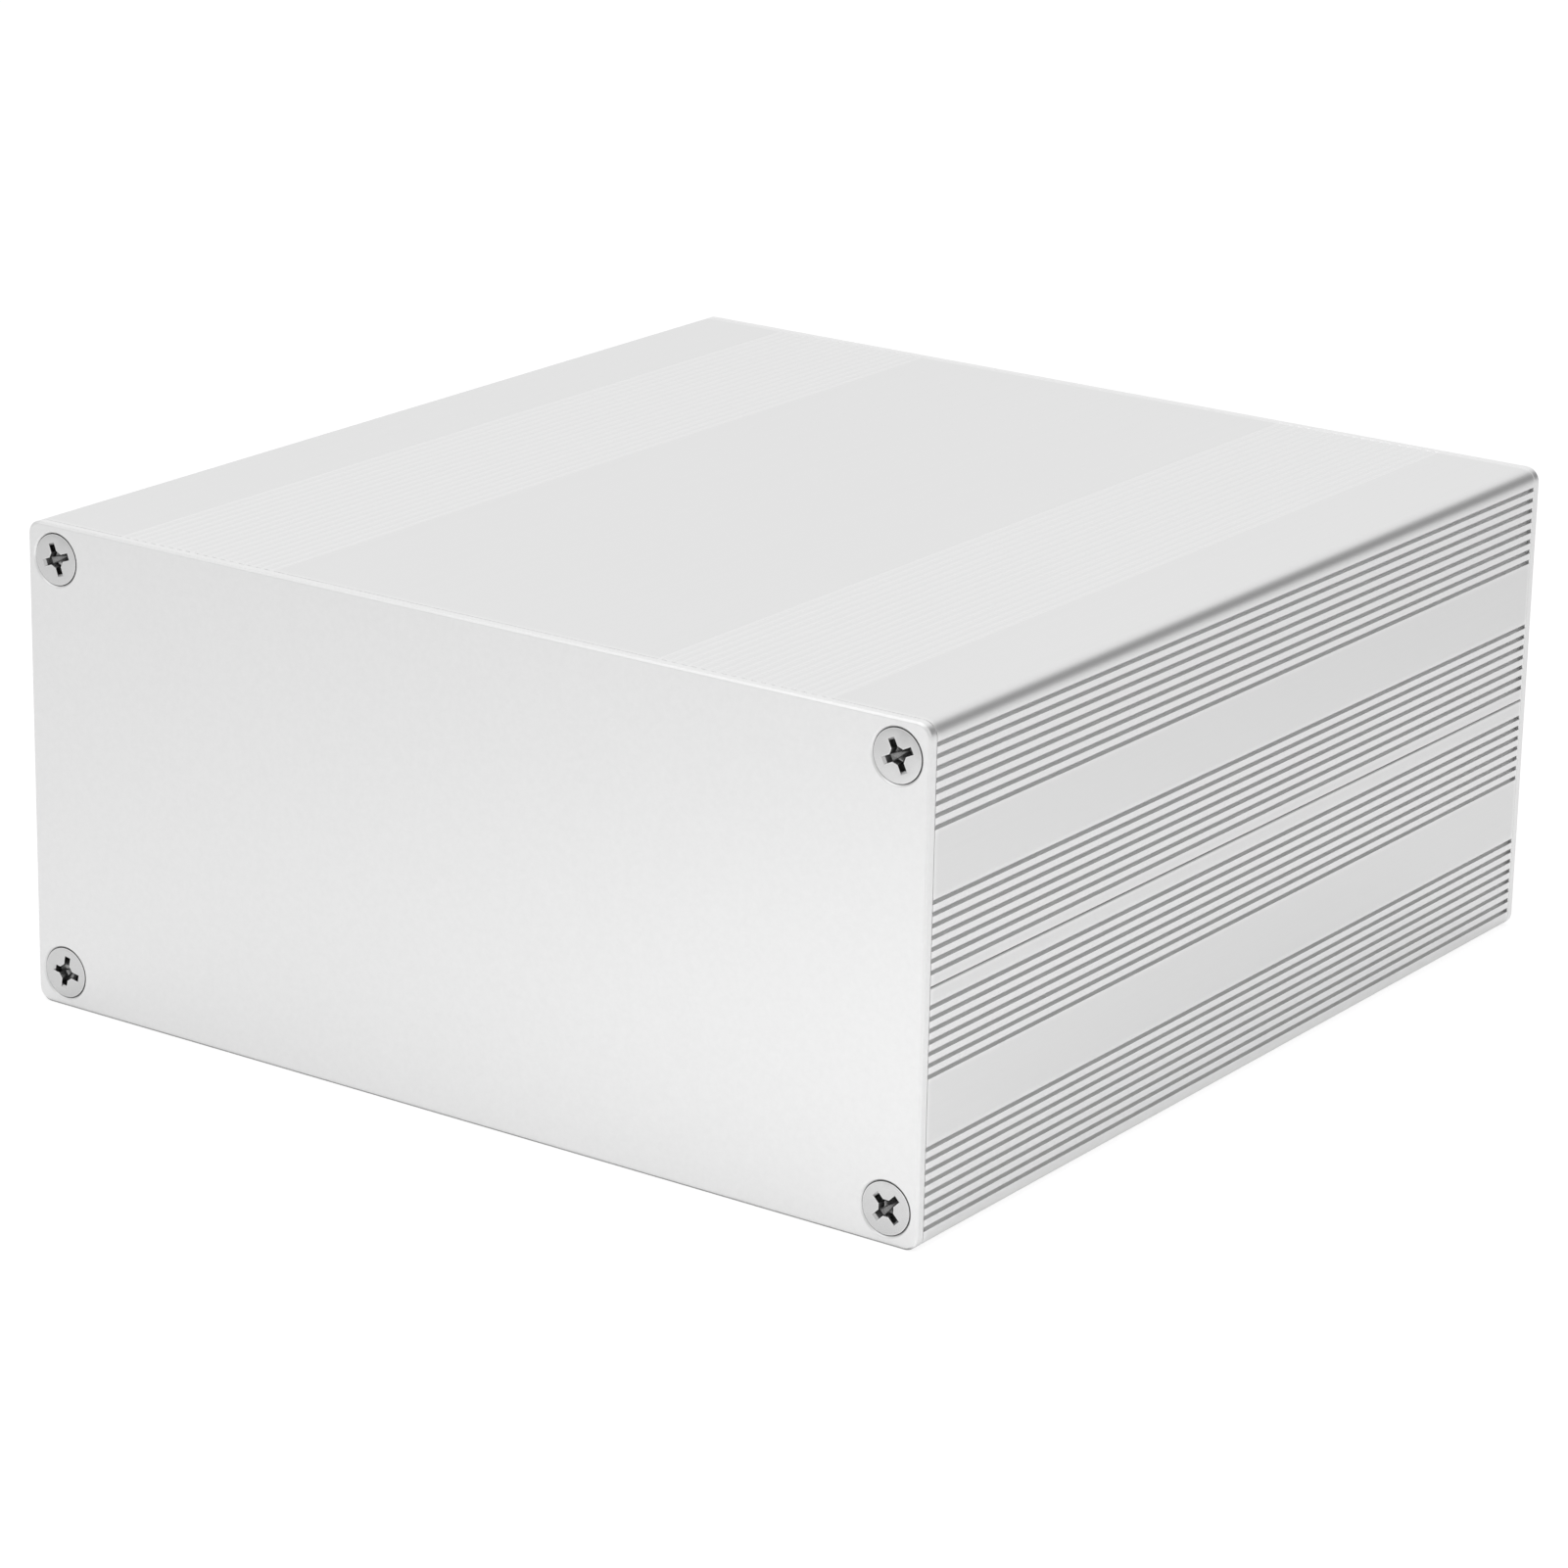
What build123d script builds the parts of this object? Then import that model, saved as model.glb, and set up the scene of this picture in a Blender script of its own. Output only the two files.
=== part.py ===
"""Split aluminium case for a small amplifier.

Two lengths of one extruded half section close on each other at mid height and
two flat end plates, each held by four countersunk cross-recess screws, clamp
them together.  Millimetres.  X runs across the case, +Y towards the back plate
and +Z up; the origin is the centre of the footprint, on the bottom face.
"""

import os
from math import hypot, radians, tan

from build123d import *

# Overall size of the closed case
case_width = 145.0
case_height = 68.0
shell_length = 150.0
corner_radius = 2.0

# Walls of the extruded half section
flat_wall = 2.0
side_wall = 2.6

# Joint between the halves: a tongue on one side wall, its slot in the other
seam_shift = 0.3
seam_gap = 0.1
seam_edge_break = 0.15
seam_rail_width = 1.4
seam_rail_height = 5.0
tongue_thickness = 1.2
tongue_height = 2.0
tongue_clearance = 0.1

# Guides for circuit boards on the inside of both side walls
board_slot_width = 1.8
board_slot_depth = 2.2
board_rib_thickness = 1.2
board_slot_heights = (12.0, 22.0)

# Deep narrow grooves along the side walls, in two groups on each half wall
groove_pitch = 1.5
groove_width = 0.6
groove_depth = 0.7
edge_to_first_groove = 2.75
edge_groove_count = 8
middle_to_first_groove = 2.25
middle_groove_count = 7

# Shallow round flutes in two bands along the flat wall
flute_pitch = 1.5
flute_width = 0.8
flute_depth = 0.08
flute_count = 18
side_to_first_flute = 15.75

# End plates
plate_thickness = 1.5
plate_face_chamfer = 0.3
plate_back_chamfer = 0.15

# Countersunk machine screws, threads drawn at their major diameter
screw_diameter = 4.0
screw_length = 8.0
screw_inset = 4.8
head_diameter = 7.0
head_rim = 0.15
head_sink = 0.12
head_angle = 90.0
recess_span = 4.6
recess_wing = 1.0
recess_core = 1.5
recess_floor = 1.8
recess_depth = 2.2

# Fits around the screws
plate_hole_clearance = 0.25
head_seat_clearance = 0.06
thread_clearance = 0.05
channel_wall = 1.25
channel_slit = 1.6

# Where the driver left each cross, in degrees anticlockwise, seen from outside
screw_turns = {
    "front": {"upper_left": 20, "upper_right": 26, "lower_left": -10, "lower_right": 45},
    "rear": {"upper_left": 33, "upper_right": -14, "lower_left": 8, "lower_right": 40},
}

# Sizes that follow from the ones above
half_width = case_width / 2
half_height = case_height / 2
half_length = shell_length / 2
inner_half_width = half_width - side_wall
screw_x = half_width - screw_inset
screw_z = half_height - screw_inset
screw_radius = screw_diameter / 2
head_radius = head_diameter / 2
head_slope = tan(radians(head_angle / 2))
channel_bore_radius = screw_radius + thread_clearance
channel_radius = channel_bore_radius + channel_wall
plate_hole_radius = screw_radius + plate_hole_clearance
countersink_radius = head_radius + (head_sink + head_rim) * head_slope + head_seat_clearance
flute_radius = (flute_width**2 / 4 + flute_depth**2) / (2 * flute_depth)

# Planes: the two halves share one section, turned half a turn about the length
# axis, and each end plane looks outwards from the face of its plate.
middle = Vector(0, 0, half_height)
end_reach = Vector(0, half_length + plate_thickness, 0)
upper_section = Plane(origin=middle, x_dir=(1, 0, 0), z_dir=(0, -1, 0))
lower_section = Plane(origin=middle, x_dir=(-1, 0, 0), z_dir=(0, -1, 0))
front_face = Plane(origin=middle - end_reach, x_dir=(1, 0, 0), z_dir=(0, -1, 0))
rear_face = Plane(origin=middle + end_reach, x_dir=(-1, 0, 0), z_dir=(0, 1, 0))

corners = {
    "upper_left": (-1, 1),
    "upper_right": (1, 1),
    "lower_left": (-1, -1),
    "lower_right": (1, -1),
}


def both_sides(points):
    """Give each point and its mirror image on the other side wall."""
    return [(side * x, y) for side in (-1, 1) for x, y in points]


def draw_wall():
    """Outer wall of the whole closed case, as a rounded frame."""
    RectangleRounded(case_width, case_height, corner_radius)
    Rectangle(2 * inner_half_width, case_height - 2 * flat_wall, mode=Mode.SUBTRACT)


def draw_screw_channels():
    """C-shaped channels in the two corners, open towards the middle of the case."""
    corner_width = inner_half_width - screw_x
    corner_height = half_height - flat_wall - screw_z
    for side in (-1, 1):
        with Locations((side * screw_x, screw_z)):
            Circle(channel_radius)
        with Locations((side * (screw_x + corner_width / 2), screw_z + corner_height / 2)):
            Rectangle(corner_width, corner_height)
        with Locations((side * screw_x, screw_z)):
            Circle(channel_bore_radius, mode=Mode.SUBTRACT)
        with Locations(Location((side * screw_x, screw_z), -90 - 45 * side)):
            Rectangle(
                2 * channel_radius,
                channel_slit,
                align=(Align.MIN, Align.CENTER),
                mode=Mode.SUBTRACT,
            )


def draw_board_guides():
    """Pairs of ribs that hold the edge of a board between them."""
    rib_offset = (board_slot_width + board_rib_thickness) / 2
    rib_x = inner_half_width - board_slot_depth / 2
    ribs = [
        (rib_x, half_height - height + step)
        for height in board_slot_heights
        for step in (-rib_offset, rib_offset)
    ]
    with Locations(*both_sides(ribs)):
        Rectangle(board_slot_depth, board_rib_thickness)


def draw_seam():
    """Part the wall at mid height: tongue down on the left, slot up on the right."""
    rail_x = inner_half_width - seam_rail_width / 2
    with Locations(*both_sides([(rail_x, 0)])):
        Rectangle(seam_rail_width, 2 * seam_rail_height)
    joint_thickness = side_wall + seam_rail_width
    joint_x = half_width - joint_thickness / 2
    for side in (-1, 1):
        seam_y = side * seam_shift + seam_gap / 2
        with Locations((side * half_width / 2, seam_y)):
            Rectangle(
                half_width,
                case_height,
                align=(Align.CENTER, Align.MAX),
                mode=Mode.SUBTRACT,
            )
        with Locations((side * half_width, seam_y)):
            Rectangle(
                hypot(seam_edge_break, seam_edge_break),
                hypot(seam_edge_break, seam_edge_break),
                rotation=45,
                mode=Mode.SUBTRACT,
            )
    with Locations((-joint_x, seam_gap / 2 - seam_shift)):
        Rectangle(tongue_thickness, 2 * tongue_height)
    with Locations((joint_x, seam_gap / 2 + seam_shift)):
        Rectangle(
            tongue_thickness + 2 * tongue_clearance,
            2 * (tongue_height + seam_gap + tongue_clearance),
            mode=Mode.SUBTRACT,
        )


def draw_side_grooves():
    """Square-bottomed grooves, cut into the outer face of both side walls."""
    from_edge = [
        half_height - edge_to_first_groove - step * groove_pitch
        for step in range(edge_groove_count)
    ]
    from_middle = [
        middle_to_first_groove + step * groove_pitch for step in range(middle_groove_count)
    ]
    centres = [(half_width, y) for y in from_edge + from_middle]
    with Locations(*both_sides(centres)):
        Rectangle(2 * groove_depth, groove_width, mode=Mode.SUBTRACT)


def draw_flutes():
    """Shallow flutes, each the tip of a circle that dips into the flat wall."""
    flute_y = half_height + flute_radius - flute_depth
    centres = [
        (half_width - side_to_first_flute - step * flute_pitch, flute_y)
        for step in range(flute_count)
    ]
    with Locations(*both_sides(centres)):
        Circle(flute_radius, mode=Mode.SUBTRACT)


def draw_half_section():
    """The extrusion's section, above the seam and with its flat wall on top."""
    draw_wall()
    draw_screw_channels()
    draw_board_guides()
    draw_seam()
    draw_side_grooves()
    draw_flutes()


def clear_screw_heads():
    """Chamfer the mouths of the channels where the heads' cones reach past the plates."""
    mouths = [
        Plane(origin=face.from_local_coords((side * screw_x, level * screw_z, 0)), z_dir=face.z_dir)
        for face in (front_face, rear_face)
        for side, level in corners.values()
    ]
    with Locations(*[mouth.location for mouth in mouths]):
        Cone(
            bottom_radius=channel_bore_radius,
            top_radius=countersink_radius,
            height=(countersink_radius - channel_bore_radius) / head_slope,
            align=(Align.CENTER, Align.CENTER, Align.MAX),
            mode=Mode.SUBTRACT,
        )


def finish_plate(face):
    """Break the edges of an end plate and countersink a hole at each corner."""
    outward = Axis(face.origin, face.z_dir)
    chamfer(edges().group_by(outward)[-1], plate_face_chamfer)
    chamfer(edges().group_by(outward)[0], plate_back_chamfer)
    with Locations(face.location):
        with GridLocations(2 * screw_x, 2 * screw_z, 2, 2):
            CounterSinkHole(
                radius=plate_hole_radius,
                counter_sink_radius=countersink_radius,
                depth=plate_thickness,
                counter_sink_angle=head_angle,
            )


os.makedirs("parts", exist_ok=True)

# Half shells
with BuildPart() as upper_shell:
    with BuildSketch(upper_section):
        draw_half_section()
    extrude(amount=half_length, both=True)
    clear_screw_heads()
upper_shell.part.label = "upper_shell"
export_step(upper_shell.part, "parts/upper_shell.step")

with BuildPart() as lower_shell:
    with BuildSketch(lower_section):
        draw_half_section()
    extrude(amount=half_length, both=True)
    clear_screw_heads()
lower_shell.part.label = "lower_shell"
export_step(lower_shell.part, "parts/lower_shell.step")

# End plates
with BuildPart() as front_plate:
    with BuildSketch(front_face):
        RectangleRounded(case_width, case_height, corner_radius)
    extrude(amount=-plate_thickness)
    finish_plate(front_face)
front_plate.part.label = "front_plate"
export_step(front_plate.part, "parts/front_plate.step")

with BuildPart() as rear_plate:
    with BuildSketch(rear_face):
        RectangleRounded(case_width, case_height, corner_radius)
    extrude(amount=-plate_thickness)
    finish_plate(rear_face)
rear_plate.part.label = "rear_plate"
export_step(rear_plate.part, "parts/rear_plate.step")

# Cross recess: two parallel-sided slots whose ends slope in, and a square core
with BuildPart() as cross_recess:
    for slot_plane in (Plane.XZ, Plane.YZ):
        with BuildSketch(slot_plane):
            with BuildLine():
                Polyline(
                    (-recess_span / 2, -head_sink),
                    (recess_span / 2, -head_sink),
                    (recess_floor / 2, -head_sink - recess_depth),
                    (-recess_floor / 2, -head_sink - recess_depth),
                    close=True,
                )
            make_face()
        extrude(amount=recess_wing / 2, both=True)
    with BuildSketch(Plane.XY.offset(-head_sink)):
        Rectangle(recess_core, recess_core, rotation=45)
    extrude(amount=-recess_depth)

# One screw, standing on +Z with the plate's outer face at its zero height
cone_end = -head_sink - head_rim - (head_radius - screw_radius) / head_slope
with BuildPart() as screw_pattern:
    with BuildSketch(Plane.XZ):
        with BuildLine():
            Polyline(
                (0, -head_sink),
                (head_radius, -head_sink),
                (head_radius, -head_sink - head_rim),
                (screw_radius, cone_end),
                (screw_radius, -screw_length),
                (0, -screw_length),
                close=True,
            )
        make_face()
    revolve(axis=Axis.Z)
    add(cross_recess.part, mode=Mode.SUBTRACT)

# The eight screws
for end, face in (("front", front_face), ("rear", rear_face)):
    for corner, (side, level) in corners.items():
        seat = Plane(
            origin=face.from_local_coords((side * face.x_dir.X * screw_x, level * screw_z, 0)),
            x_dir=face.x_dir.rotate(Axis((0, 0, 0), face.z_dir), screw_turns[end][corner]),
            z_dir=face.z_dir,
        )
        with BuildPart() as screw:
            with Locations(seat.location):
                add(screw_pattern.part)
        screw.part.label = f"{end}_screw_{corner}"
        export_step(screw.part, f"parts/{end}_screw_{corner}.step")
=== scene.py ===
"""Studio scene of a split aluminium case for a small amplifier.

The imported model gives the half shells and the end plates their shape.  This
file gives them their finishes, makes the eight screws in detail, and sets the
floor, the studio light and the camera around the case.  Lengths are metres, in
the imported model's own frame: X across the case, +Y towards the back plate and
+Z up from the floor.
"""

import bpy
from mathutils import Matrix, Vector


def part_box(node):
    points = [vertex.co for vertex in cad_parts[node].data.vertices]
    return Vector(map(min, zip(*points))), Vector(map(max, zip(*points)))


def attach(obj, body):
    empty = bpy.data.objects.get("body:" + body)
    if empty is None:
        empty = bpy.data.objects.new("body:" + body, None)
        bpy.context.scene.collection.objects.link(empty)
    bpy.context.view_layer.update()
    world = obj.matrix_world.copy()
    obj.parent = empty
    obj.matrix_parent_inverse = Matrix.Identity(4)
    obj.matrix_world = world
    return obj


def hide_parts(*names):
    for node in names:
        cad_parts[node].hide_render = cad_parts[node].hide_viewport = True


bl_info = {
    "name": "Amplifier Case Studio",
    "version": (1, 0, 0),
    "blender": (4, 5, 0),
    "location": "3D View > Sidebar > Amplifier Case",
    "description": "Finishes, screws and studio stage for a split aluminium amplifier case",
    "category": "Object",
}

from math import cos, pi, radians, sin

import bmesh
import bpy
from bpy.props import FloatProperty, FloatVectorProperty, PointerProperty
from bpy.types import Operator, Panel, PropertyGroup
from mathutils import Matrix, Vector

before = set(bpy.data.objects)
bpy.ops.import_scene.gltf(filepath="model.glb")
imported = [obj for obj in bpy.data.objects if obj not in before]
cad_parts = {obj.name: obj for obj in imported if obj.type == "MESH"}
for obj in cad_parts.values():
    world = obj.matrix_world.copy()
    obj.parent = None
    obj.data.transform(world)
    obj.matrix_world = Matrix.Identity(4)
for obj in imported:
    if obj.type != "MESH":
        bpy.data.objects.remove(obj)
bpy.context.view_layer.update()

MM = 0.001

# Spacing of the columns and rows in the node editor, and the width of a group's node
NODE_SPACING = (220, 200)
GROUP_WIDTH = 180

SHELLS = ("upper_shell", "lower_shell")
PLATES = ("front_plate", "rear_plate")

# How far the driver turned each screw's cross, anticlockwise seen from outside
SCREW_TURNS = {
    "front_screw_upper_left": 20,
    "front_screw_upper_right": 26,
    "front_screw_lower_left": -10,
    "front_screw_lower_right": 45,
    "rear_screw_upper_left": 33,
    "rear_screw_upper_right": -14,
    "rear_screw_lower_left": 8,
    "rear_screw_lower_right": 40,
}

# Each end's outward axis, the axis across it, and the plane of its plate
FRONT_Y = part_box("front_plate")[0].y
REAR_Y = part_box("rear_plate")[1].y
ENDS = {
    "front": (Vector((0, -1, 0)), Vector((1, 0, 0)), FRONT_Y),
    "rear": (Vector((0, 1, 0)), Vector((-1, 0, 0)), REAR_Y),
}

# Two bright windows of the room and one dark curtain: direction, inner and outer
# spread in degrees, and the brightness that each adds to the room's own
WINDOWS = (
    ((-0.35, 0.80, 0.45), (20, 50), 0.24),
    ((-0.55, -0.24, 0.80), (10, 40), 0.10),
    ((0.44, 0.80, 0.33), (8, 28), -0.61),
)

# Lamps: place, the point each faces, its width, and whether it lights the metal too
# and not only the floor
OVERHEAD_SOFTBOX = ((-0.10, -0.15, 0.95), (0.0, 0.0, 0.0), 0.9, True)
FRONT_LAMP = ((0.05, -0.18, 0.12), (0.05, -0.12, 0.0), 0.12, False)
SIDE_LAMP = ((0.16, -0.02, 0.20), (0.12, -0.03, 0.0), 0.12, False)

# Floor: sides of its round outline, how much of it glows white to the camera and in
# the metal, and how bright that glow is
FLOOR_SIDES = 96
SEEN_GLOW = 0.75
MIRRORED_GLOW = 0.2
GLOW_BRIGHTNESS = 1.12

# Camera: place, the point it faces, its roll, and its sensor's width in millimetres
CAMERA_PLACE = Vector((0.41658, -0.59676, 0.26512))
CAMERA_AIM = Vector((-0.00026, -0.00305, 0.02684))
CAMERA_ROLL = radians(1.113)
SENSOR_WIDTH = 36.0

# Blender's noise varies about this value
NOISE_MIDDLE = 0.5

# The bands of shallow flutes, one on each side of the shells' middle, how far a
# flute's walls lean where a painted highlight begins on them and where it is full,
# and the share of that painted highlight on the lands between flutes
FLUTE_BAND_MIDDLE = 44.0 * MM
FLUTE_BAND_WIDTH = 26.3 * MM
FLUTE_HIGHLIGHT_LEAN = (0.02, 0.15)
FLUTE_LAND_HIGHLIGHT = 0.3

# Every screw has the size of this one, and its head lies this far below the plate's face
SCREW_LOW, SCREW_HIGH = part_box("front_screw_upper_right")
HEAD_SINK = SCREW_LOW.y - FRONT_Y

# Screw heads: height of the rim over the cone, the rim's rounding, and the share of
# the rounding at which its middle ring lies
HEAD_RIM = 0.19 * MM
RIM_ROUND = 0.05 * MM
RIM_BEND = 0.3

# The cross recess from its lip down: depth below the head's face, how much narrower
# the cross is there, thickness of its arms as a share of the wing, and how far from
# the middle the arms join
RECESS_STEPS = (
    (0.04 * MM, 0.0, 1.0, 1.08 * MM),
    (0.30 * MM, 0.55 * MM, 0.97, 1.05 * MM),
    (1.20 * MM, 0.95 * MM, 0.92, 0.98 * MM),
    (1.60 * MM, 2.70 * MM, 0.60, 0.62 * MM),
)

# Threads: depth, the plain neck above and the profile down one turn, all as shares of
# the pitch, and the spare turns that flatten against both ends
THREAD_DEPTH = 0.6
PLAIN_NECK = 0.5
THREAD_PROFILE = ((0.0, "root"), (0.25, "root"), (0.56, "crest"), (0.69, "crest"))
SPARE_TURNS = 3

# Screw meshes: sides of a ring, the least angle of a sharp edge, and how near
# vertices are welded
SCREW_SIDES = 64
SHARP_ANGLE = radians(28)
WELD_DISTANCE = 0.0001 * MM


# Sizes and colours that a user would change

class CaseFinish(PropertyGroup):
    """Colours and grain of the anodised case and of the plated screws, and the colours painted
    for light and shade in their hollows and on their ridges and flutes.
    """

    shell_colour: FloatVectorProperty(
        name="Shell Colour",
        description="Anodised colour of the extruded half shells",
        default=(0.80, 0.80, 0.80),
        size=3,
        min=0.0,
        max=1.0,
        subtype="COLOR",
    )
    plate_colour: FloatVectorProperty(
        name="Plate Colour",
        description="Anodised colour of the two end plates",
        default=(0.857, 0.857, 0.857),
        size=3,
        min=0.0,
        max=1.0,
        subtype="COLOR",
    )
    screw_colour: FloatVectorProperty(
        name="Screw Colour",
        description="Colour of the screws' plating",
        default=(0.66, 0.66, 0.66),
        size=3,
        min=0.0,
        max=1.0,
        subtype="COLOR",
    )
    # Painted light: a lighter colour that the hollow mask lays into the shells' grooves to lift
    # their shade
    groove_painted_light: FloatVectorProperty(
        name="Groove Painted Light",
        description="Painted light deep in the grooves of the shells, to lift their shade",
        default=(0.86, 0.86, 0.86),
        size=3,
        min=0.0,
        max=1.0,
        subtype="COLOR",
    )
    # Painted shade: a dark colour that the hollow mask lays into the screws' recesses
    recess_painted_shade: FloatVectorProperty(
        name="Recess Painted Shade",
        description="Painted shade deep in the recesses of the screws",
        default=(0.22, 0.22, 0.22),
        size=3,
        min=0.0,
        max=1.0,
        subtype="COLOR",
    )
    # Painted highlight: a brighter colour on the flute bands, strongest where the flutes' walls
    # lean
    flute_painted_highlight: FloatVectorProperty(
        name="Flute Painted Highlight",
        description="Painted highlight on the shallow flutes, brightest on their leaning walls",
        default=(0.852, 0.852, 0.852),
        size=3,
        min=0.0,
        max=1.0,
        subtype="COLOR",
    )
    # Painted shade: a darker colour that the hollow mask lays into the gap round each screw head
    # and into the plates' other hollows
    gap_painted_shade: FloatVectorProperty(
        name="Gap Painted Shade",
        description="Painted shade in the narrow gap round each screw head and in the plates' other hollows",
        default=(0.45, 0.45, 0.45),
        size=3,
        min=0.0,
        max=1.0,
        subtype="COLOR",
    )
    # Painted light on the plates' cut edges, laid on by the ridge mask
    cut_edge_painted_light: FloatVectorProperty(
        name="Cut Edge Painted Light",
        description="Colour painted on the cut edges of the plates for their light",
        default=(0.82, 0.82, 0.82),
        size=3,
        min=0.0,
        max=1.0,
        subtype="COLOR",
    )
    # Painted highlight: a bright colour that the ridge mask lays on ridges and sharp edges
    ridge_painted_light: FloatVectorProperty(
        name="Ridge Painted Light",
        description="Painted highlight on narrow ridges and sharp edges of shells and screws",
        default=(0.92, 0.92, 0.92),
        size=3,
        min=0.0,
        max=1.0,
        subtype="COLOR",
    )
    grain_size: FloatProperty(
        name="Blasted Grain",
        description="Width of one grain of the blasted surface",
        default=0.8 * MM,
        min=0.05 * MM,
        unit="LENGTH",
    )
    line_width: FloatProperty(
        name="Die Line Width",
        description="Width of the fine lines that the die draws along the shells",
        default=0.35 * MM,
        min=0.05 * MM,
        unit="LENGTH",
    )


class CaseScrews(PropertyGroup):
    """Sizes of the countersunk cross-recess screws."""

    head_diameter: FloatProperty(
        name="Head Diameter",
        description="Diameter of the flat head",
        default=SCREW_HIGH.x - SCREW_LOW.x,
        min=1.0 * MM,
        unit="LENGTH",
    )
    length: FloatProperty(
        name="Length",
        description="Length from the head's face to the screw's tip",
        default=SCREW_HIGH.y - SCREW_LOW.y,
        min=1.0 * MM,
        unit="LENGTH",
    )
    thread_diameter: FloatProperty(
        name="Thread Diameter",
        description="Diameter over the crests of the thread",
        default=4.0 * MM,
        min=1.0 * MM,
        unit="LENGTH",
    )
    thread_pitch: FloatProperty(
        name="Thread Pitch",
        description="Advance of the thread in one turn",
        default=0.7 * MM,
        min=0.1 * MM,
        unit="LENGTH",
    )
    recess_span: FloatProperty(
        name="Recess Span",
        description="Width of the cross from tip to tip",
        default=4.6 * MM,
        min=0.5 * MM,
        unit="LENGTH",
    )
    recess_wing: FloatProperty(
        name="Recess Wing",
        description="Thickness of one arm of the cross",
        default=0.95 * MM,
        min=0.1 * MM,
        unit="LENGTH",
    )
    recess_depth: FloatProperty(
        name="Recess Depth",
        description="Depth of the cross below the head's face",
        default=2.6 * MM,
        min=0.1 * MM,
        unit="LENGTH",
    )


class CaseStudio(PropertyGroup):
    """Floor, light and camera."""

    floor_colour: FloatVectorProperty(
        name="Floor Colour",
        description="Colour of the studio floor",
        default=(0.9, 0.9, 0.9),
        size=3,
        min=0.0,
        max=1.0,
        subtype="COLOR",
    )
    floor_radius: FloatProperty(
        name="Floor Radius",
        description="Radius of the round studio floor",
        default=3.0,
        min=0.5,
        unit="LENGTH",
    )
    overhead_radiance: FloatProperty(
        name="Overhead Light",
        description="Brightness of the softbox overhead, where 1 is white",
        default=0.65,
        min=0.0,
    )
    front_radiance: FloatProperty(
        name="Front Light",
        description="Brightness of the small lamp for the floor in front, where 1 is white",
        default=1.46,
        min=0.0,
    )
    side_radiance: FloatProperty(
        name="Side Light",
        description="Brightness of the small lamp for the floor at the right, where 1 is white",
        default=1.82,
        min=0.0,
    )
    room_radiance: FloatProperty(
        name="Room Light",
        description="Brightness of the room between its windows, where 1 is white",
        default=0.725,
        min=0.0,
    )
    lens: FloatProperty(
        name="Lens",
        description="Focal length of the camera",
        default=126.465 * MM,
        min=10.0 * MM,
        unit="LENGTH",
    )


# Shader nodes

def add_node(tree, kind, column, row, inputs=None, **settings):
    """Add a shader node at a column and row of the editor and set its values."""
    node = tree.nodes.new(kind)
    node.location = (column * NODE_SPACING[0], -row * NODE_SPACING[1])
    for name, value in settings.items():
        setattr(node, name, value)
    for socket, value in (inputs or {}).items():
        node.inputs[socket].default_value = value
    return node


def join(tree, *links):
    """Link pairs of sockets, output first."""
    for output, target in links:
        tree.links.new(output, target)


def new_group(name, inputs, outputs):
    """Make an empty shader group; inputs are name, socket type and default."""
    group = bpy.data.node_groups.new(name, "ShaderNodeTree")
    for socket, kind, default in inputs:
        made = group.interface.new_socket(name=socket, in_out="INPUT", socket_type=kind)
        made.default_value = default
    for socket, kind in outputs:
        group.interface.new_socket(name=socket, in_out="OUTPUT", socket_type=kind)
    given = add_node(group, "NodeGroupInput", 0, 0)
    result = add_node(group, "NodeGroupOutput", 8, 0)
    return group, given, result


def surface_grain_group():
    """Noise of a chosen grain, drawn out along the case, as a height and a tone about one."""
    group, given, result = new_group(
        "Surface Grain",
        (
            ("Grain Width", "NodeSocketFloat", 0.3 * MM),
            ("Stretch", "NodeSocketFloat", 1.0),
            ("Contrast", "NodeSocketFloat", 0.05),
        ),
        (("Height", "NodeSocketFloat"), ("Tone", "NodeSocketFloat")),
    )
    place = add_node(group, "ShaderNodeTexCoord", 1, 0)
    squeeze = add_node(group, "ShaderNodeMath", 1, 1, {0: 1.0}, operation="DIVIDE")
    along = add_node(group, "ShaderNodeCombineXYZ", 2, 1, {"X": 1.0, "Z": 1.0})
    stretched = add_node(group, "ShaderNodeVectorMath", 3, 0, operation="MULTIPLY")
    per_metre = add_node(group, "ShaderNodeMath", 2, 2, {0: 1.0}, operation="DIVIDE")
    noise = add_node(
        group, "ShaderNodeTexNoise", 4, 0, {"Detail": 2.0, "Roughness": 0.6}
    )
    centred = add_node(
        group, "ShaderNodeMath", 5, 1, {1: NOISE_MIDDLE}, operation="SUBTRACT"
    )
    tone = add_node(group, "ShaderNodeMath", 6, 1, {2: 1.0}, operation="MULTIPLY_ADD")
    join(
        group,
        (given.outputs["Stretch"], squeeze.inputs[1]),
        (squeeze.outputs[0], along.inputs["Y"]),
        (place.outputs["Object"], stretched.inputs[0]),
        (along.outputs[0], stretched.inputs[1]),
        (given.outputs["Grain Width"], per_metre.inputs[1]),
        (stretched.outputs[0], noise.inputs["Vector"]),
        (per_metre.outputs[0], noise.inputs["Scale"]),
        (noise.outputs["Fac"], centred.inputs[0]),
        (centred.outputs[0], tone.inputs[0]),
        (given.outputs["Contrast"], tone.inputs[1]),
        (noise.outputs["Fac"], result.inputs["Height"]),
        (tone.outputs[0], result.inputs["Tone"]),
    )
    return group


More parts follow.
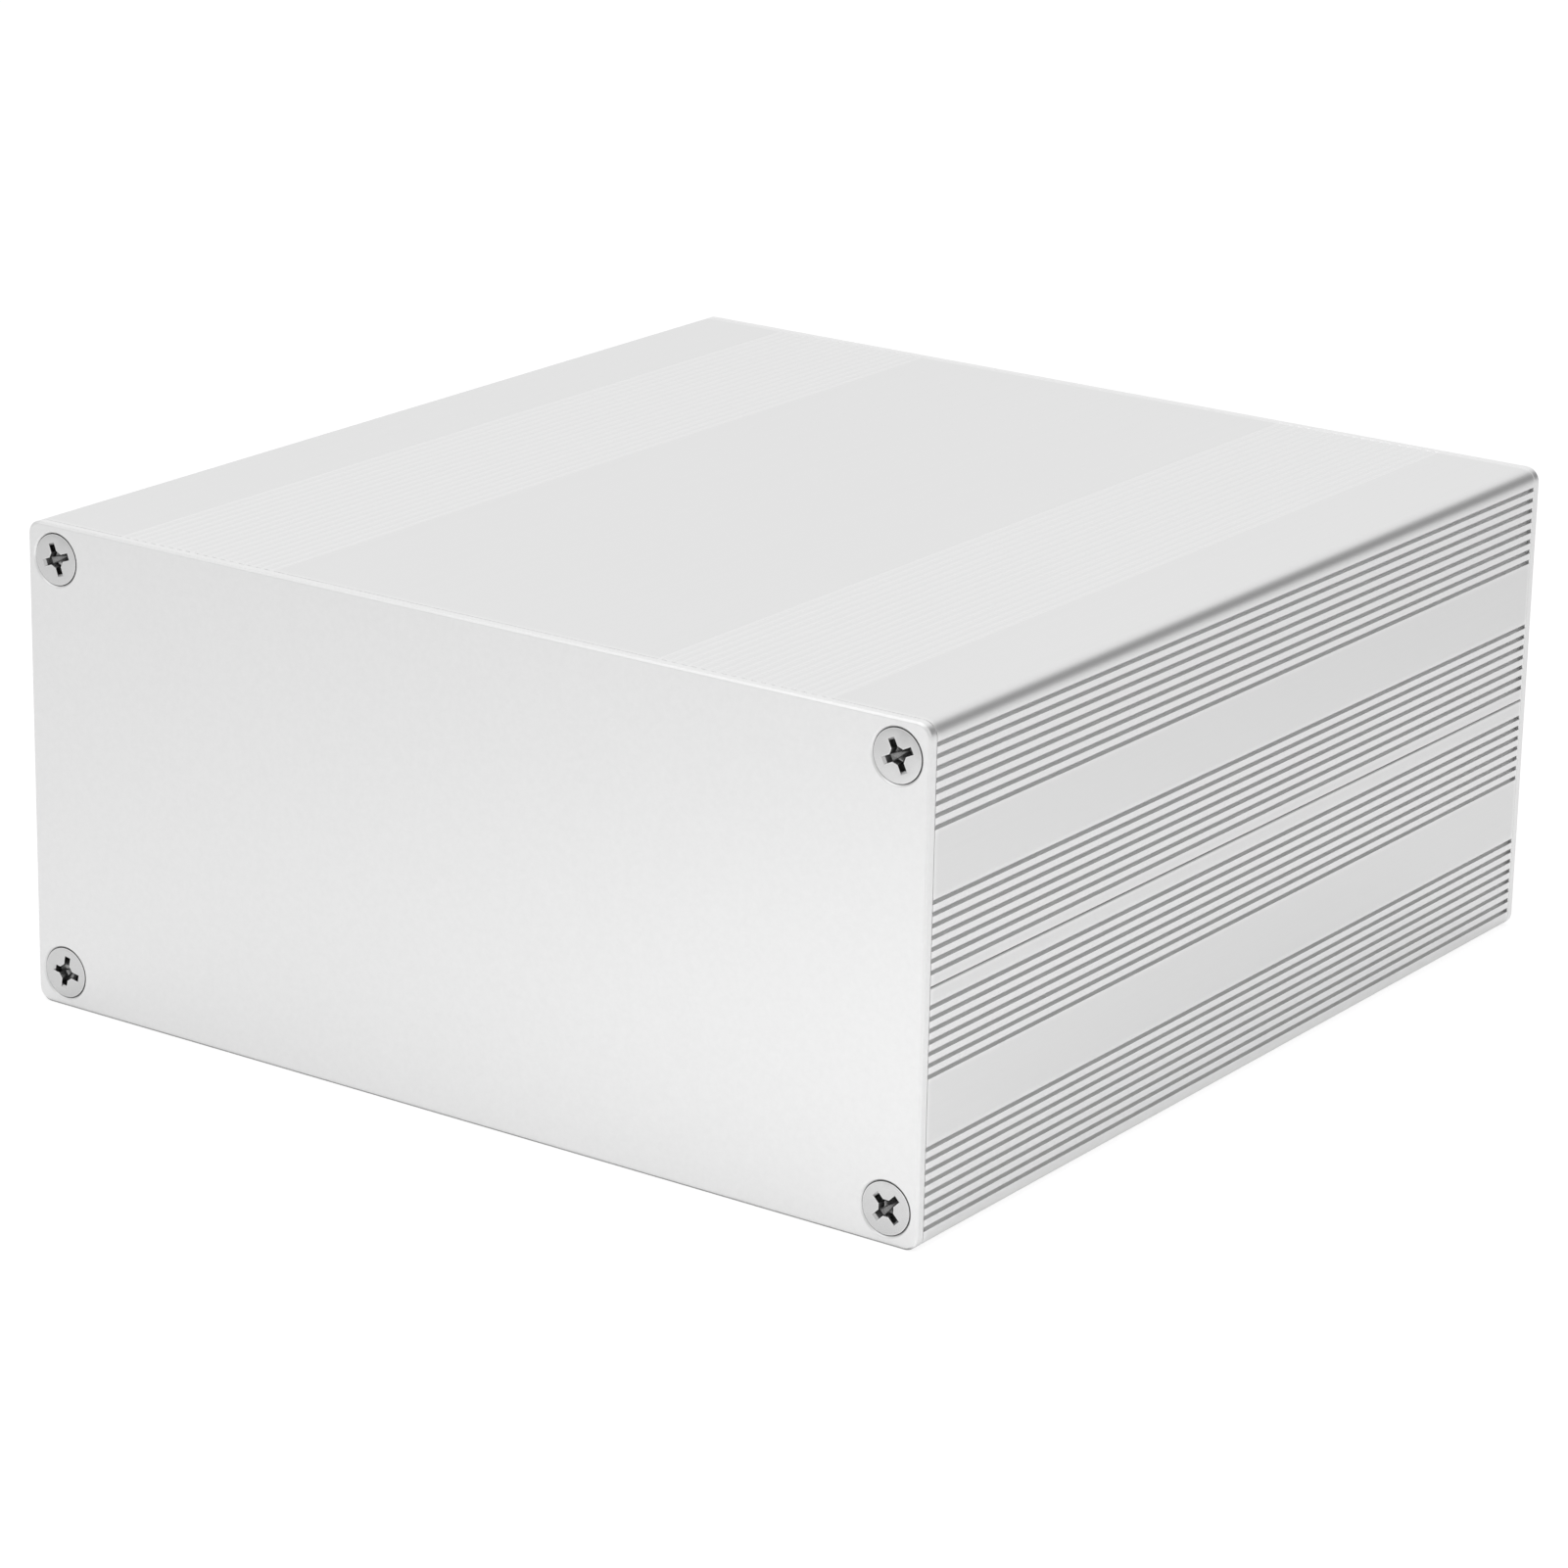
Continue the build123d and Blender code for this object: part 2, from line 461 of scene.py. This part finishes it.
def painted_shading_masks_group():
    """Masks for painted light and shade in closed-in hollows and for painted highlights on thin
    ridges and edges.

    Each has its reach, and the share of open space where it starts and where it is full.
    """
    group, given, result = new_group(
        "Painted Shading Masks",
        (
            ("Hollow Reach", "NodeSocketFloat", 1.0 * MM),
            ("Hollow Start", "NodeSocketFloat", 0.9),
            ("Hollow Limit", "NodeSocketFloat", 0.3),
            ("Ridge Reach", "NodeSocketFloat", 1.0 * MM),
            ("Ridge Start", "NodeSocketFloat", 0.9),
            ("Ridge Limit", "NodeSocketFloat", 0.3),
        ),
        (("Hollow", "NodeSocketFloat"), ("Ridge", "NodeSocketFloat")),
    )
    # Outside occlusion masks the hollows for painted shade, inside occlusion masks the ridges
    # for painted highlights
    for row, (name, inside) in enumerate((("Hollow", False), ("Ridge", True))):
        opening = add_node(
            group, "ShaderNodeAmbientOcclusion", 1, row, samples=8, inside=inside
        )
        mask = add_node(
            group, "ShaderNodeMapRange", 3, row, {"To Min": 0.0, "To Max": 1.0}, clamp=True
        )
        join(
            group,
            (given.outputs[name + " Start"], mask.inputs["From Min"]),
            (given.outputs[name + " Reach"], opening.inputs["Distance"]),
            (opening.outputs["AO"], mask.inputs["Value"]),
            (given.outputs[name + " Limit"], mask.inputs["From Max"]),
            (mask.outputs["Result"], result.inputs[name]),
        )
    return group


def eased_edge_group():
    """Normals that turn softly over sharp edges."""
    group, given, result = new_group(
        "Eased Edge",
        (("Radius", "NodeSocketFloat", 0.1 * MM),),
        (("Normal", "NodeSocketVector"),),
    )
    rounded = add_node(group, "ShaderNodeBevel", 1, 0, samples=6)
    join(
        group,
        (given.outputs["Radius"], rounded.inputs["Radius"]),
        (rounded.outputs["Normal"], result.inputs["Normal"]),
    )
    return group


def shared_group(name):
    """Give the shared group of that name, built the first time it is asked for."""
    builders = {
        "Surface Grain": surface_grain_group,
        "Painted Shading Masks": painted_shading_masks_group,
        "Eased Edge": eased_edge_group,
    }
    return bpy.data.node_groups.get(name) or builders[name]()


def mix_colours(tree, name, column, row, first=None, second=None, blend_type="MIX"):
    """Add a named colour mix; its colour sockets are 6 and 7 in and 2 out."""
    mix = add_node(
        tree,
        "ShaderNodeMix",
        column,
        row,
        {"Factor": 1.0},
        name=name,
        label=name,
        data_type="RGBA",
        blend_type=blend_type,
    )
    for socket, colour in ((6, first), (7, second)):
        if colour is not None:
            mix.inputs[socket].default_value = (*colour, 1.0)
    return mix


def place_group(tree, name, column, row, inputs):
    """Place a shared group in a material with the material's own values."""
    node = add_node(tree, "ShaderNodeGroup", column, row)
    node.node_tree = shared_group(name)
    node.width = GROUP_WIDTH
    for socket, value in inputs.items():
        node.inputs[socket].default_value = value
    return node


def metal_finish(name, colour, hollow_painted_shading, ridge_painted_light, roughness, grain, masks, edge, bump):
    """A metal with grain, painted light and shade in hollows, painted highlights on ridges, and
    eased edges.
    """
    material = bpy.data.materials.new(name)
    material.use_nodes = True
    tree = material.node_tree
    tree.nodes.clear()
    shader = add_node(
        tree, "ShaderNodeBsdfPrincipled", 8, 0, {"Metallic": 1.0, "Roughness": roughness}
    )
    output = add_node(tree, "ShaderNodeOutputMaterial", 10, 0)
    grains = place_group(tree, "Surface Grain", 0, 0, grain)
    painted_masks = place_group(tree, "Painted Shading Masks", 0, 1, masks)
    edges = place_group(tree, "Eased Edge", 0, 2, edge)
    # Painted highlight on ridges, then the grain's tone, then painted light and shade in hollows
    ridge_lit = mix_colours(tree, "Painted Ridge Light", 2, 0, colour, ridge_painted_light)
    toned = mix_colours(tree, "Toned", 4, 0, blend_type="MULTIPLY")
    hollow_shaded = mix_colours(tree, "Painted Hollow Shading", 6, 0, None, hollow_painted_shading)
    relief = add_node(tree, "ShaderNodeBump", 6, 2, bump)
    join(
        tree,
        (painted_masks.outputs["Ridge"], ridge_lit.inputs["Factor"]),
        (ridge_lit.outputs[2], toned.inputs[6]),
        (grains.outputs["Tone"], toned.inputs[7]),
        (painted_masks.outputs["Hollow"], hollow_shaded.inputs["Factor"]),
        (toned.outputs[2], hollow_shaded.inputs[6]),
        (hollow_shaded.outputs[2], shader.inputs["Base Color"]),
        (grains.outputs["Height"], relief.inputs["Height"]),
        (edges.outputs["Normal"], relief.inputs["Normal"]),
        (relief.outputs["Normal"], shader.inputs["Normal"]),
        (shader.outputs["BSDF"], output.inputs["Surface"]),
    )
    return material


def paint_flute_highlights(material, colour):
    """Paint highlights on the two bands of shallow flutes, brightest on the flutes' leaning
    walls.
    """
    tree = material.node_tree
    toned = tree.nodes["Toned"]
    hollow_shaded = tree.nodes["Painted Hollow Shading"]
    place = add_node(tree, "ShaderNodeTexCoord", 0, 4)
    surface = add_node(tree, "ShaderNodeNewGeometry", 0, 5)
    across = add_node(tree, "ShaderNodeSeparateXYZ", 1, 4)
    leaning = add_node(tree, "ShaderNodeSeparateXYZ", 1, 5)
    from_middle = add_node(tree, "ShaderNodeMath", 2, 4, operation="ABSOLUTE")
    lean = add_node(tree, "ShaderNodeMath", 2, 5, operation="ABSOLUTE")
    band = add_node(
        tree,
        "ShaderNodeMath",
        3,
        4,
        {1: FLUTE_BAND_MIDDLE, 2: FLUTE_BAND_WIDTH / 2},
        operation="COMPARE",
    )
    # Share of the painted highlight by how far the surface leans across the case
    drawn = add_node(
        tree,
        "ShaderNodeMapRange",
        3,
        5,
        {
            "From Min": FLUTE_HIGHLIGHT_LEAN[0],
            "From Max": FLUTE_HIGHLIGHT_LEAN[1],
            "To Min": FLUTE_LAND_HIGHLIGHT,
            "To Max": 1.0,
        },
        clamp=True,
    )
    flute = add_node(tree, "ShaderNodeMath", 4, 4, operation="MULTIPLY")
    flute_highlighted = mix_colours(tree, "Painted Flute Highlight", 5, 4, None, colour)
    join(
        tree,
        (place.outputs["Object"], across.inputs[0]),
        (surface.outputs["Normal"], leaning.inputs[0]),
        (across.outputs["X"], from_middle.inputs[0]),
        (leaning.outputs["X"], lean.inputs[0]),
        (from_middle.outputs[0], band.inputs[0]),
        (lean.outputs[0], drawn.inputs["Value"]),
        (band.outputs[0], flute.inputs[0]),
        (drawn.outputs["Result"], flute.inputs[1]),
        (toned.outputs[2], flute_highlighted.inputs[6]),
        (flute.outputs[0], flute_highlighted.inputs["Factor"]),
        (flute_highlighted.outputs[2], hollow_shaded.inputs[6]),
    )


def dress(names, material):
    """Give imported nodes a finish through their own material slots."""
    for name in names:
        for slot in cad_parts[name].material_slots:
            slot.material = material


# Screw meshes

def ring(mesh, radius, height, count):
    """One ring of vertices about the screw's axis."""
    turns = (2 * pi * step / count for step in range(count))
    return [mesh.verts.new((radius * cos(t), radius * sin(t), height)) for t in turns]


def bridge(mesh, upper, lower):
    """Join two rings of the same count with quads."""
    count = len(upper)
    for step in range(count):
        after = (step + 1) % count
        mesh.faces.new((upper[step], lower[step], lower[after], upper[after]))


def cross_outline(mesh, span, wing, throat, height):
    """A cross of four square-ended arms, with its inner corners cut off."""
    tip, half = span / 2, wing / 2
    points = []
    for quarter in range(4):
        turn = Matrix.Rotation(quarter * pi / 2, 2)
        for x, y in ((tip, -half), (tip, half), (throat, half), (half, throat)):
            points.append(turn @ Vector((x, y)))
    return [mesh.verts.new((x, y, height)) for x, y in points]


def cut_thread(mesh, crest, root, pitch, top, bottom):
    """Wind a thread down the shank between two heights."""
    radii = {"crest": crest, "root": root}
    rows = []
    for turn in range(int((top - bottom) / pitch) + SPARE_TURNS):
        for share, place in THREAD_PROFILE:
            row = []
            for step in range(SCREW_SIDES):
                angle = 2 * pi * step / SCREW_SIDES
                height = top + pitch * (1 - turn - share - step / SCREW_SIDES)
                if height >= top:
                    radius, height = crest, top
                elif height <= bottom:
                    radius, height = root, bottom
                else:
                    radius = radii[place]
                row.append(mesh.verts.new((radius * cos(angle), radius * sin(angle), height)))
            rows.append(row)
    for upper, lower in zip(rows, rows[1:]):
        for step in range(SCREW_SIDES - 1):
            after = step + 1
            mesh.faces.new((upper[step], lower[step], lower[after], upper[after]))
    # The end of each turn meets the start of the next
    turn_rows = len(THREAD_PROFILE)
    for upper, lower, next_upper, next_lower in zip(
        rows, rows[1:], rows[turn_rows:], rows[turn_rows + 1:]
    ):
        mesh.faces.new((upper[-1], lower[-1], next_lower[0], next_upper[0]))


def cut_recess(mesh, sizes, face):
    """Sink the cross recess below the head's face and return the outline of its mouth."""
    span, wing = sizes.recess_span, sizes.recess_wing
    lip, _, _, throat = RECESS_STEPS[0]
    loops = [cross_outline(mesh, span + 2 * lip, wing + 2 * lip, throat + lip, face)]
    for depth, narrower, share, throat in RECESS_STEPS:
        loops.append(cross_outline(mesh, span - narrower, share * wing, throat, face - depth))
    for upper, lower in zip(loops, loops[1:]):
        bridge(mesh, upper, lower)
    foot = loops[-1]
    point = mesh.verts.new((0, 0, face - sizes.recess_depth))
    for step, corner in enumerate(foot):
        mesh.faces.new((corner, point, foot[(step + 1) % len(foot)]))
    return loops[0]


def screw_mesh(sizes):
    """Mesh of one screw on +Z, with the plate's outer face at height zero."""
    head = sizes.head_diameter / 2
    crest = sizes.thread_diameter / 2
    root = crest - THREAD_DEPTH * sizes.thread_pitch
    face = -HEAD_SINK
    neck = face - HEAD_RIM - (head - crest)
    thread_top = neck - PLAIN_NECK * sizes.thread_pitch
    tip = face - sizes.length
    bend = RIM_BEND * RIM_ROUND
    mesh = bmesh.new()
    mouth = cut_recess(mesh, sizes, face)
    rings = [
        ring(mesh, radius, height, SCREW_SIDES)
        for radius, height in (
            (head - RIM_ROUND, face),
            (head - bend, face - bend),
            (head, face - RIM_ROUND),
            (head, face - HEAD_RIM),
            (crest, neck),
            (crest, thread_top),
        )
    ]
    for upper, lower in zip(rings, rings[1:]):
        bridge(mesh, upper, lower)
    edges = [
        mesh.edges.get((loop[step], loop[(step + 1) % len(loop)]))
        for loop in (rings[0], mouth)
        for step in range(len(loop))
    ]
    bmesh.ops.triangle_fill(mesh, use_beauty=True, edges=edges)
    cut_thread(mesh, crest, root, sizes.thread_pitch, thread_top, tip)
    mesh.faces.new(ring(mesh, root, tip, SCREW_SIDES))
    bmesh.ops.remove_doubles(mesh, verts=mesh.verts, dist=WELD_DISTANCE)
    bmesh.ops.recalc_face_normals(mesh, faces=mesh.faces)
    data = bpy.data.meshes.new("countersunk_screw")
    mesh.to_mesh(data)
    mesh.free()
    data.shade_smooth()
    data.set_sharp_from_angle(angle=SHARP_ANGLE)
    return data


def screw_seat(node, turn):
    """Matrix that stands a screw in its countersink with its cross turned."""
    outward, across, face_y = ENDS[node.split("_")[0]]
    low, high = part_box(node)
    spin = Matrix.Rotation(radians(turn), 3, outward)
    x_axis = spin @ across
    y_axis = outward.cross(x_axis)
    seat = Matrix((x_axis, y_axis, outward)).transposed().to_4x4()
    seat.translation = ((low.x + high.x) / 2, face_y, (low.z + high.z) / 2)
    return seat


# One operator for each group of like pieces, and one for the stage

class CASE_OT_dress_shells(Operator):
    """Give the half shells their drawn and anodised finish, with painted light in the grooves
    and painted highlights on ridges and flutes
    """

    bl_idname = "case.dress_shells"
    bl_label = "Dress Shells"

    def execute(self, context):
        finish = context.scene.case_finish
        material = metal_finish(
            "shell_anodised_finish",
            colour=finish.shell_colour,
            hollow_painted_shading=finish.groove_painted_light,
            ridge_painted_light=finish.ridge_painted_light,
            roughness=0.42,
            grain={"Grain Width": finish.line_width, "Stretch": 120.0, "Contrast": 0.02},
            # Painted light in the grooves, and painted highlights on the lands and edges
            masks={
                "Hollow Reach": 1.0 * MM,
                "Hollow Start": 0.9,
                "Hollow Limit": 0.1,
                "Ridge Reach": 1.0 * MM,
                "Ridge Start": 0.9,
                "Ridge Limit": 0.3,
            },
            edge={"Radius": 0.09 * MM},
            bump={"Strength": 0.2, "Distance": 0.01 * MM},
        )
        # Painted highlight on the bands of flutes
        paint_flute_highlights(material, finish.flute_painted_highlight)
        dress(SHELLS, material)
        return {"FINISHED"}


class CASE_OT_dress_plates(Operator):
    """Give the end plates their blasted and anodised finish, with painted shade in their hollows
    and painted light on their cut edges
    """

    bl_idname = "case.dress_plates"
    bl_label = "Dress Plates"

    def execute(self, context):
        finish = context.scene.case_finish
        material = metal_finish(
            "plate_anodised_finish",
            colour=finish.plate_colour,
            hollow_painted_shading=finish.gap_painted_shade,
            ridge_painted_light=finish.cut_edge_painted_light,
            roughness=0.38,
            grain={"Grain Width": finish.grain_size, "Stretch": 1.0, "Contrast": 0.055},
            # Painted shade round the screw heads and in other hollows, and painted light on the
            # cut edges
            masks={
                "Hollow Reach": 1.0 * MM,
                "Hollow Start": 0.8,
                "Hollow Limit": 0.4,
                "Ridge Reach": 0.3 * MM,
                "Ridge Start": 0.9,
                "Ridge Limit": 0.5,
            },
            edge={"Radius": 0.15 * MM},
            bump={"Strength": 0.35, "Distance": 0.02 * MM},
        )
        dress(PLATES, material)
        return {"FINISHED"}


class CASE_OT_make_screws(Operator):
    """Make the eight countersunk screws in place of the plain ones, with painted shade in their
    recesses and painted highlights on their rims
    """

    bl_idname = "case.make_screws"
    bl_label = "Make Screws"

    def execute(self, context):
        finish = context.scene.case_finish
        material = metal_finish(
            "screw_plated_finish",
            colour=finish.screw_colour,
            hollow_painted_shading=finish.recess_painted_shade,
            ridge_painted_light=finish.ridge_painted_light,
            roughness=0.24,
            grain={"Grain Width": 0.2 * MM, "Stretch": 1.0, "Contrast": 0.05},
            # Painted shade deep in the recesses and round the head, and painted highlights on
            # rims and lips
            masks={
                "Hollow Reach": 3.0 * MM,
                "Hollow Start": 0.58,
                "Hollow Limit": 0.38,
                "Ridge Reach": 0.25 * MM,
                "Ridge Start": 0.85,
                "Ridge Limit": 0.5,
            },
            edge={"Radius": 0.05 * MM},
            bump={"Strength": 0.15, "Distance": 0.01 * MM},
        )
        pattern = screw_mesh(context.scene.case_screws)
        pattern.materials.append(material)
        for node, turn in SCREW_TURNS.items():
            screw = bpy.data.objects.new("detailed_" + node, pattern.copy())
            screw.data.transform(screw_seat(node, turn))
            context.scene.collection.objects.link(screw)
            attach(screw, "root")
            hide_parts(node)
        return {"FINISHED"}


class CASE_OT_set_stage(Operator):
    """Lay the floor, light the studio and place the camera"""

    bl_idname = "case.set_stage"
    bl_label = "Set Stage"

    def execute(self, context):
        studio = context.scene.case_studio
        lay_floor(context, studio)
        light_room(context, studio)
        hang_lamp(context, "overhead_softbox", OVERHEAD_SOFTBOX, studio.overhead_radiance)
        hang_lamp(context, "front_lamp", FRONT_LAMP, studio.front_radiance)
        hang_lamp(context, "side_lamp", SIDE_LAMP, studio.side_radiance)
        place_camera(context, studio)
        context.scene.view_settings.view_transform = "Standard"
        return {"FINISHED"}


# Stage

def lay_floor(context, studio):
    """A wide round floor that shows white to the camera and keeps the shadow."""
    mesh = bmesh.new()
    bmesh.ops.create_circle(
        mesh, cap_ends=True, segments=FLOOR_SIDES, radius=studio.floor_radius
    )
    data = bpy.data.meshes.new("studio_floor")
    mesh.to_mesh(data)
    mesh.free()
    floor = bpy.data.objects.new("studio_floor", data)
    context.scene.collection.objects.link(floor)
    material = bpy.data.materials.new("studio_floor_paper")
    material.use_nodes = True
    tree = material.node_tree
    tree.nodes.clear()
    ray = add_node(tree, "ShaderNodeLightPath", 0, 0)
    seen = add_node(tree, "ShaderNodeMath", 1, 0, {1: SEEN_GLOW}, operation="MULTIPLY")
    mirrored = add_node(
        tree, "ShaderNodeMath", 2, 0, {1: MIRRORED_GLOW}, operation="MULTIPLY_ADD"
    )
    paper = add_node(
        tree, "ShaderNodeBsdfDiffuse", 2, 1, {"Color": (*studio.floor_colour, 1.0)}
    )
    white = add_node(tree, "ShaderNodeEmission", 2, 2, {"Strength": GLOW_BRIGHTNESS})
    mix = add_node(tree, "ShaderNodeMixShader", 3, 0)
    output = add_node(tree, "ShaderNodeOutputMaterial", 4, 0)
    join(
        tree,
        (ray.outputs["Is Camera Ray"], seen.inputs[0]),
        (ray.outputs["Is Glossy Ray"], mirrored.inputs[0]),
        (seen.outputs[0], mirrored.inputs[2]),
        (mirrored.outputs[0], mix.inputs["Fac"]),
        (paper.outputs[0], mix.inputs[1]),
        (white.outputs[0], mix.inputs[2]),
        (mix.outputs[0], output.inputs["Surface"]),
    )
    data.materials.append(material)


def light_room(context, studio):
    """A room all round that the metal mirrors, and that the camera sees as plain white."""
    world = bpy.data.worlds.new("studio_room")
    context.scene.world = world
    world.use_nodes = True
    tree = world.node_tree
    tree.nodes.clear()
    direction = add_node(tree, "ShaderNodeTexCoord", 0, 0)
    ray = add_node(tree, "ShaderNodeLightPath", 6, 1)
    seen = mix_colours(tree, "Seen", 7, 0, None, (1.0, 1.0, 1.0))
    light = add_node(tree, "ShaderNodeBackground", 8, 0)
    output = add_node(tree, "ShaderNodeOutputWorld", 9, 0)
    room = add_node(tree, "ShaderNodeValue", 2, len(WINDOWS))
    room.outputs[0].default_value = studio.room_radiance
    level = room.outputs[0]
    for step, (towards, spread, brightness) in enumerate(WINDOWS):
        near = add_node(tree, "ShaderNodeVectorMath", 1, step, operation="DOT_PRODUCT")
        near.inputs[1].default_value = Vector(towards).normalized()
        window = add_node(
            tree,
            "ShaderNodeMapRange",
            2,
            step,
            {
                "From Min": cos(radians(spread[1])),
                "From Max": cos(radians(spread[0])),
                "To Min": 0.0,
                "To Max": brightness,
            },
            clamp=True,
            interpolation_type="SMOOTHSTEP",
        )
        total = add_node(tree, "ShaderNodeMath", 4 + step, step, operation="ADD")
        join(
            tree,
            (direction.outputs["Generated"], near.inputs[0]),
            (near.outputs["Value"], window.inputs["Value"]),
            (window.outputs["Result"], total.inputs[0]),
            (level, total.inputs[1]),
        )
        level = total.outputs[0]
    join(
        tree,
        (ray.outputs["Is Camera Ray"], seen.inputs[0]),
        (level, seen.inputs[6]),
        (seen.outputs[2], light.inputs["Color"]),
        (light.outputs[0], output.inputs["Surface"]),
    )


def hang_lamp(context, name, stand, radiance):
    """Hang a square lamp that faces a point and is never seen itself."""
    place, aim, width, lights_metal = stand
    lamp = bpy.data.lights.new(name, "AREA")
    lamp.shape = "SQUARE"
    lamp.size = width
    lamp.energy = pi * width * width * radiance
    box = bpy.data.objects.new(name, lamp)
    context.scene.collection.objects.link(box)
    box.location = place
    box.rotation_euler = (Vector(aim) - Vector(place)).to_track_quat("-Z", "Y").to_euler()
    box.visible_camera = False
    box.visible_glossy = lights_metal


def place_camera(context, studio):
    """Stand the camera where the photograph was taken."""
    camera = bpy.data.cameras.new("studio_camera")
    camera.lens = studio.lens / MM
    camera.sensor_width = SENSOR_WIDTH
    stand = bpy.data.objects.new("studio_camera", camera)
    context.scene.collection.objects.link(stand)
    look = (CAMERA_AIM - CAMERA_PLACE).to_track_quat("-Z", "Y").to_matrix()
    turned = look @ Matrix.Rotation(CAMERA_ROLL, 3, "Z")
    stand.matrix_world = Matrix.Translation(CAMERA_PLACE) @ turned.to_4x4()
    context.scene.camera = stand


# Panel, registration and the run as a script

class CASE_PT_studio(Panel):
    """Sizes, colours and the steps that build the scene."""

    bl_idname = "CASE_PT_studio"
    bl_label = "Amplifier Case"
    bl_space_type = "VIEW_3D"
    bl_region_type = "UI"
    bl_category = "Amplifier Case"

    def draw(self, context):
        layout = self.layout
        for group, settings in SETTINGS.items():
            box = layout.box()
            for name in settings.__annotations__:
                box.prop(getattr(context.scene, group), name)
        for step in STEPS:
            layout.operator(step.bl_idname)


STEPS = (CASE_OT_dress_shells, CASE_OT_dress_plates, CASE_OT_make_screws, CASE_OT_set_stage)
SETTINGS = {
    "case_finish": CaseFinish,
    "case_screws": CaseScrews,
    "case_studio": CaseStudio,
}


def register():
    """Add the settings, the steps and the panel to Blender."""
    for cls in (*SETTINGS.values(), *STEPS, CASE_PT_studio):
        bpy.utils.register_class(cls)
    for name, settings in SETTINGS.items():
        setattr(bpy.types.Scene, name, PointerProperty(type=settings))


def unregister():
    """Take the settings, the steps and the panel out of Blender."""
    for name in SETTINGS:
        delattr(bpy.types.Scene, name)
    for cls in reversed((*SETTINGS.values(), *STEPS, CASE_PT_studio)):
        bpy.utils.unregister_class(cls)


def main():
    """Build the whole scene."""
    register()
    bpy.ops.case.dress_shells()
    bpy.ops.case.dress_plates()
    bpy.ops.case.make_screws()
    bpy.ops.case.set_stage()


if __name__ == "__main__":
    main()
